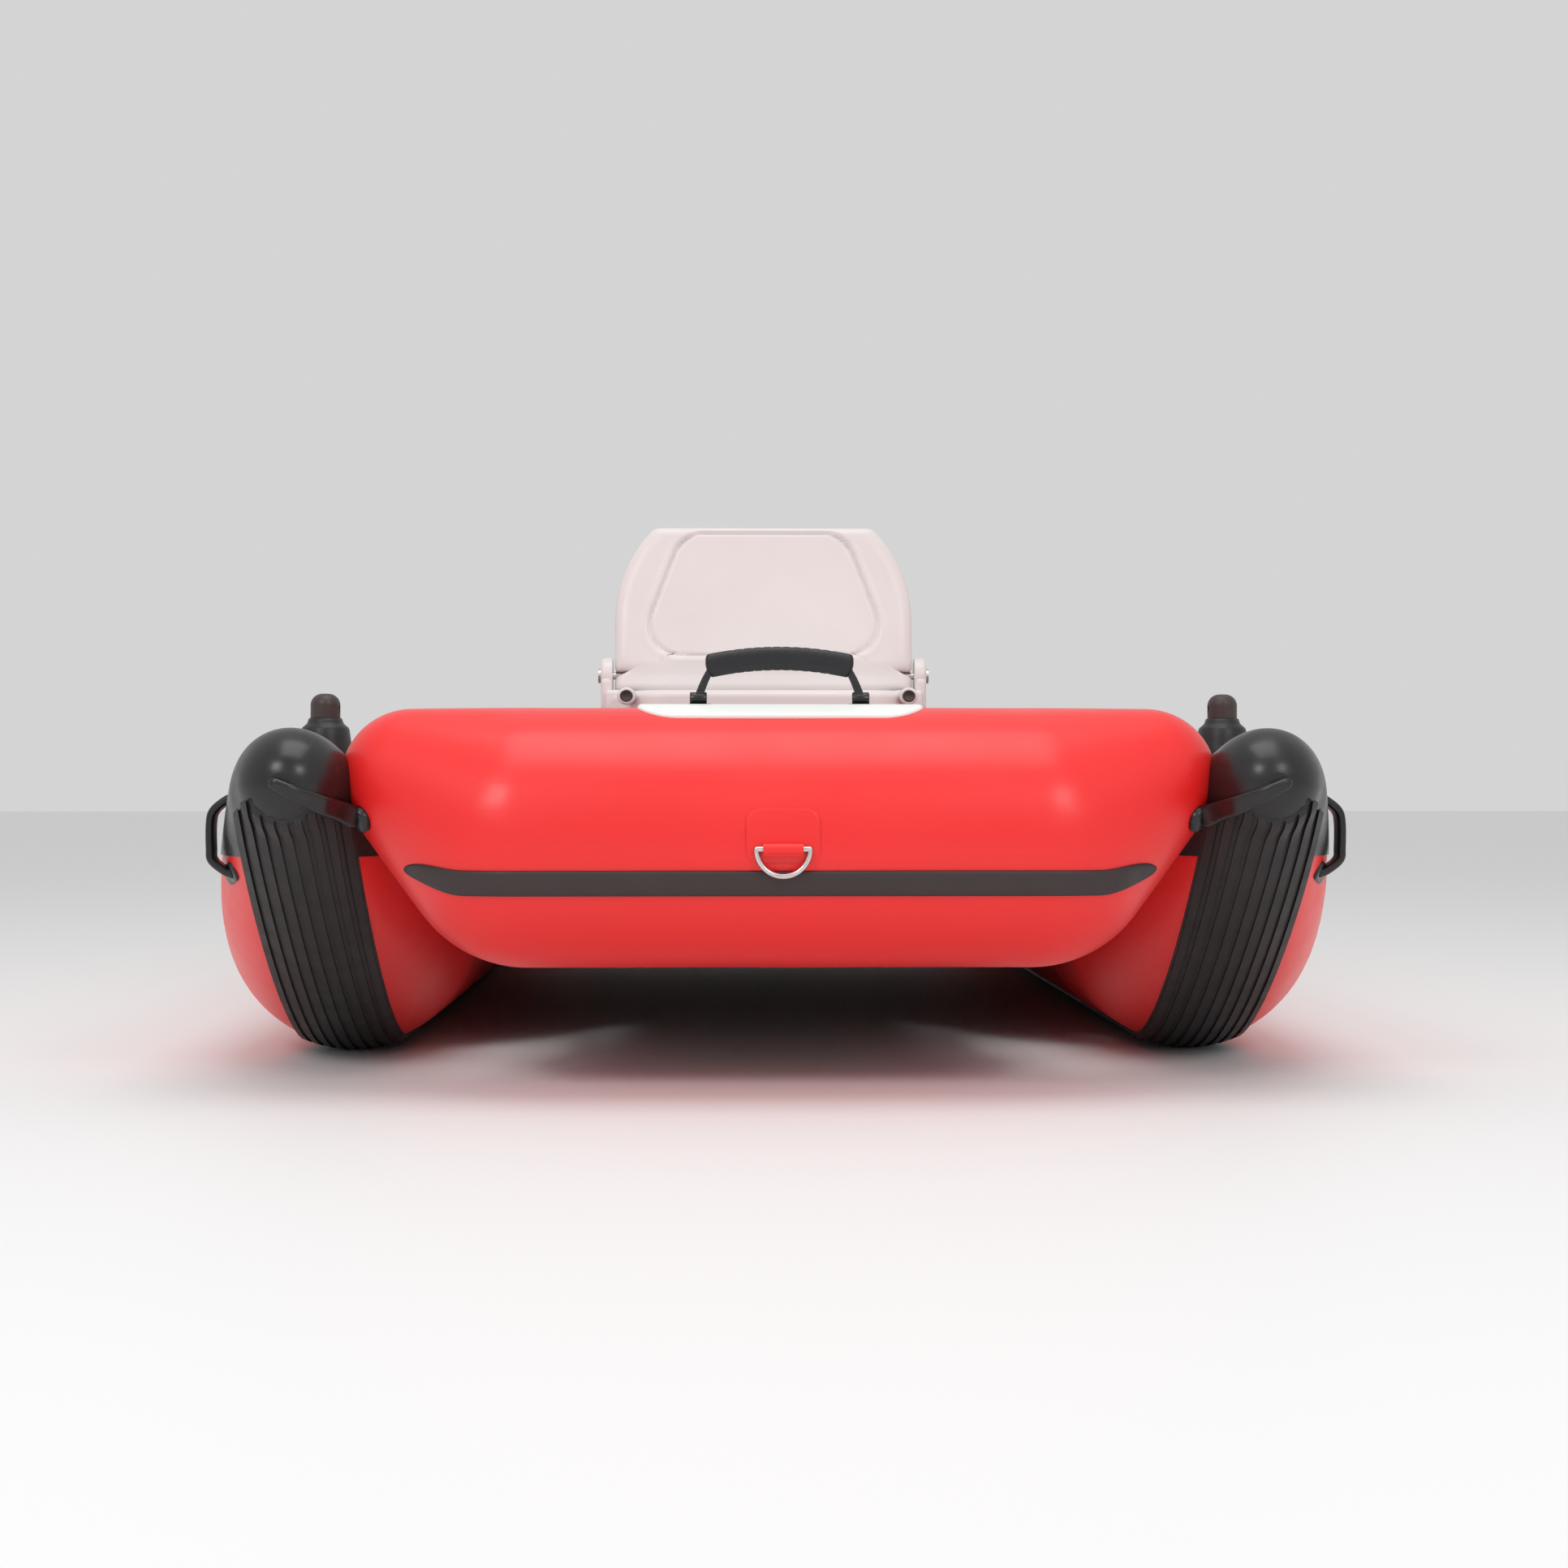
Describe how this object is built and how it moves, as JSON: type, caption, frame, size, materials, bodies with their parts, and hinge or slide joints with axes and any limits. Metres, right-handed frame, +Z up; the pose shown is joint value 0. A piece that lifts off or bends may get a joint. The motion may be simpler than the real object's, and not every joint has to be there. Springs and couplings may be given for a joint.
{
  "type": "inflatable dinghy",
  "caption": "Small inflatable catamaran-style boat with two pointed side tubes, a bow cross tube, an air floor, a transom for an outboard and a moulded seat with a folding backrest.",
  "frame": {"origin": "on the ground plane under the middle of the boat, on its centre plane", "axes": "+Z up, bow towards -Y, +X to port"},
  "size_m": [1.484, 3.0958, 0.7945],
  "materials": {
    "pvc_red": "gloss",
    "pvc_black": "gloss",
    "rubber_ribbed": "satin",
    "rubber_grey": "satin",
    "webbing_black": "matte",
    "grip_black": "satin",
    "pad_white": "satin",
    "floor_grey": "matte",
    "seat_white": "satin",
    "plastic_black": "satin",
    "plastic_brown": "satin",
    "plywood": "satin",
    "steel": "polished",
    "brass": "satin"
  },
  "bodies": {
    "hull": {"pontoon_port": "pvc_red", "pontoon_starboard": "pvc_red", "bow_tube": "pvc_red", "bow_ring_tab": "pvc_red", "nose_cap_port": "pvc_black", "nose_cap_starboard": "pvc_black", "stern_cap_port": "pvc_black", "stern_cap_starboard": "pvc_black", "keel_guard_port": "rubber_ribbed", "keel_guard_starboard": "rubber_ribbed", "bow_strake": "rubber_grey", "baffle_port": "webbing_black", "baffle_starboard": "webbing_black", "bow_pad": "pad_white", "bow_handle_lug_port": "pvc_black", "bow_handle_lug_starboard": "pvc_black", "gusset_strap_port": "pvc_black", "gusset_strap_starboard": "pvc_black", "gusset_port": "pvc_black", "gusset_starboard": "pvc_black", "side_handle_port": "pvc_black", "side_handle_starboard": "pvc_black", "transom_holder_port": "pvc_black", "transom_holder_starboard": "pvc_black", "floor": "floor_grey", "floor_tape_port": "floor_grey", "floor_tape_starboard": "floor_grey", "transom": "plywood", "motor_pad_aft": "plastic_black", "clamp_plate_inner": "plastic_black", "drain_tube": "brass", "stern_eye_port": "steel", "stern_eye_starboard": "steel", "seat_pin_port": "steel", "seat_pin_starboard": "steel", "seat_box": "seat_white", "seat_pan": "seat_white", "swivel_base_port": "plastic_black", "swivel_base_starboard": "plastic_black", "valve_body_port": "plastic_black", "valve_body_starboard": "plastic_black", "valve_body_bow": "plastic_black", "valve_body_floor": "plastic_black"},
    "bow_ring": {"bow_ring": "steel"},
    "bow_handle": {"bow_handle_strap": "webbing_black", "bow_handle_grip": "grip_black"},
    "seat_backrest": {"seat_backrest": "seat_white"},
    "drain_plug": {"drain_plug": "plastic_black"},
    "stern_ring_port": {"stern_ring_port": "steel"},
    "swivel_port": {"swivel_port": "plastic_brown"},
    "stern_ring_starboard": {"stern_ring_starboard": "steel"},
    "swivel_starboard": {"swivel_starboard": "plastic_brown"},
    "valve_cap_port": {"valve_cap_port": "plastic_black"},
    "valve_poppet_port": {"valve_poppet_port": "plastic_black"},
    "valve_cap_starboard": {"valve_cap_starboard": "plastic_black"},
    "valve_poppet_starboard": {"valve_poppet_starboard": "plastic_black"},
    "valve_cap_bow": {"valve_cap_bow": "plastic_black"},
    "valve_poppet_bow": {"valve_poppet_bow": "plastic_black"},
    "valve_cap_floor": {"valve_cap_floor": "plastic_black"},
    "valve_poppet_floor": {"valve_poppet_floor": "plastic_black"}
  },
  "joints": [
    {"name": "bow_ring_hang", "type": "hinge", "parent": "hull", "child": "bow_ring", "pos_m": [0, -1.541, 0.291], "axis": [-1, 0, 0], "range_deg": [0, 110]},
    {"name": "bow_handle_tilt", "type": "hinge", "parent": "hull", "child": "bow_handle", "pos_m": [0, -1.35, 0.468], "axis": [1, 0, 0], "range_deg": [-60, 60]},
    {"name": "backrest_fold", "type": "hinge", "parent": "hull", "child": "seat_backrest", "pos_m": [0, -0.165, 0.545], "axis": [1, 0, 0], "range_deg": [0, 95]},
    {"name": "drain_plug_pull", "type": "slide", "parent": "hull", "child": "drain_plug", "axis": [0, 1, 0], "range_m": [0, 0.05]},
    {"name": "stern_ring_hang_port", "type": "hinge", "parent": "hull", "child": "stern_ring_port", "pos_m": [0.225, 1.027, 0.3], "axis": [1, 0, 0], "range_deg": [0, 110]},
    {"name": "swivel_turn_port", "type": "hinge", "parent": "hull", "child": "swivel_port", "pos_m": [0.58, -1.13, 0.45], "axis": [0, 0, 1], "continuous": true},
    {"name": "stern_ring_hang_starboard", "type": "hinge", "parent": "hull", "child": "stern_ring_starboard", "pos_m": [-0.225, 1.027, 0.3], "axis": [1, 0, 0], "range_deg": [0, 110]},
    {"name": "swivel_turn_starboard", "type": "hinge", "parent": "hull", "child": "swivel_starboard", "pos_m": [-0.58, -1.13, 0.45], "axis": [0, 0, 1], "continuous": true},
    {"name": "valve_cap_turn_port", "type": "hinge", "parent": "hull", "child": "valve_cap_port", "pos_m": [0.47057, 0.76, 0.30589], "axis": [-0.6157, 0, 0.788], "range_deg": [0, 90]},
    {"name": "valve_poppet_press_port", "type": "slide", "parent": "hull", "child": "valve_poppet_port", "axis": [0.6157, 0, -0.788], "range_m": [0, 0.0045], "stiffness_N_per_m": 400},
    {"name": "valve_cap_turn_starboard", "type": "hinge", "parent": "hull", "child": "valve_cap_starboard", "pos_m": [-0.47057, 0.76, 0.30589], "axis": [0.6157, 0, 0.788], "range_deg": [0, 90]},
    {"name": "valve_poppet_press_starboard", "type": "slide", "parent": "hull", "child": "valve_poppet_starboard", "axis": [-0.6157, 0, -0.788], "range_m": [0, 0.0045], "stiffness_N_per_m": 400},
    {"name": "valve_cap_turn_bow", "type": "hinge", "parent": "hull", "child": "valve_cap_bow", "pos_m": [0.17, -1.25303, 0.3899], "axis": [0, 0.8192, 0.5736], "range_deg": [0, 90]},
    {"name": "valve_poppet_press_bow", "type": "slide", "parent": "hull", "child": "valve_poppet_bow", "axis": [0, -0.8192, -0.5736], "range_m": [0, 0.0045], "stiffness_N_per_m": 400},
    {"name": "valve_cap_turn_floor", "type": "hinge", "parent": "hull", "child": "valve_cap_floor", "pos_m": [0.251, 0.86, 0.225], "axis": [0, 0, 1], "range_deg": [0, 90]},
    {"name": "valve_poppet_press_floor", "type": "slide", "parent": "hull", "child": "valve_poppet_floor", "axis": [0, 0, -1], "range_m": [0, 0.0045], "stiffness_N_per_m": 400}
  ]
}
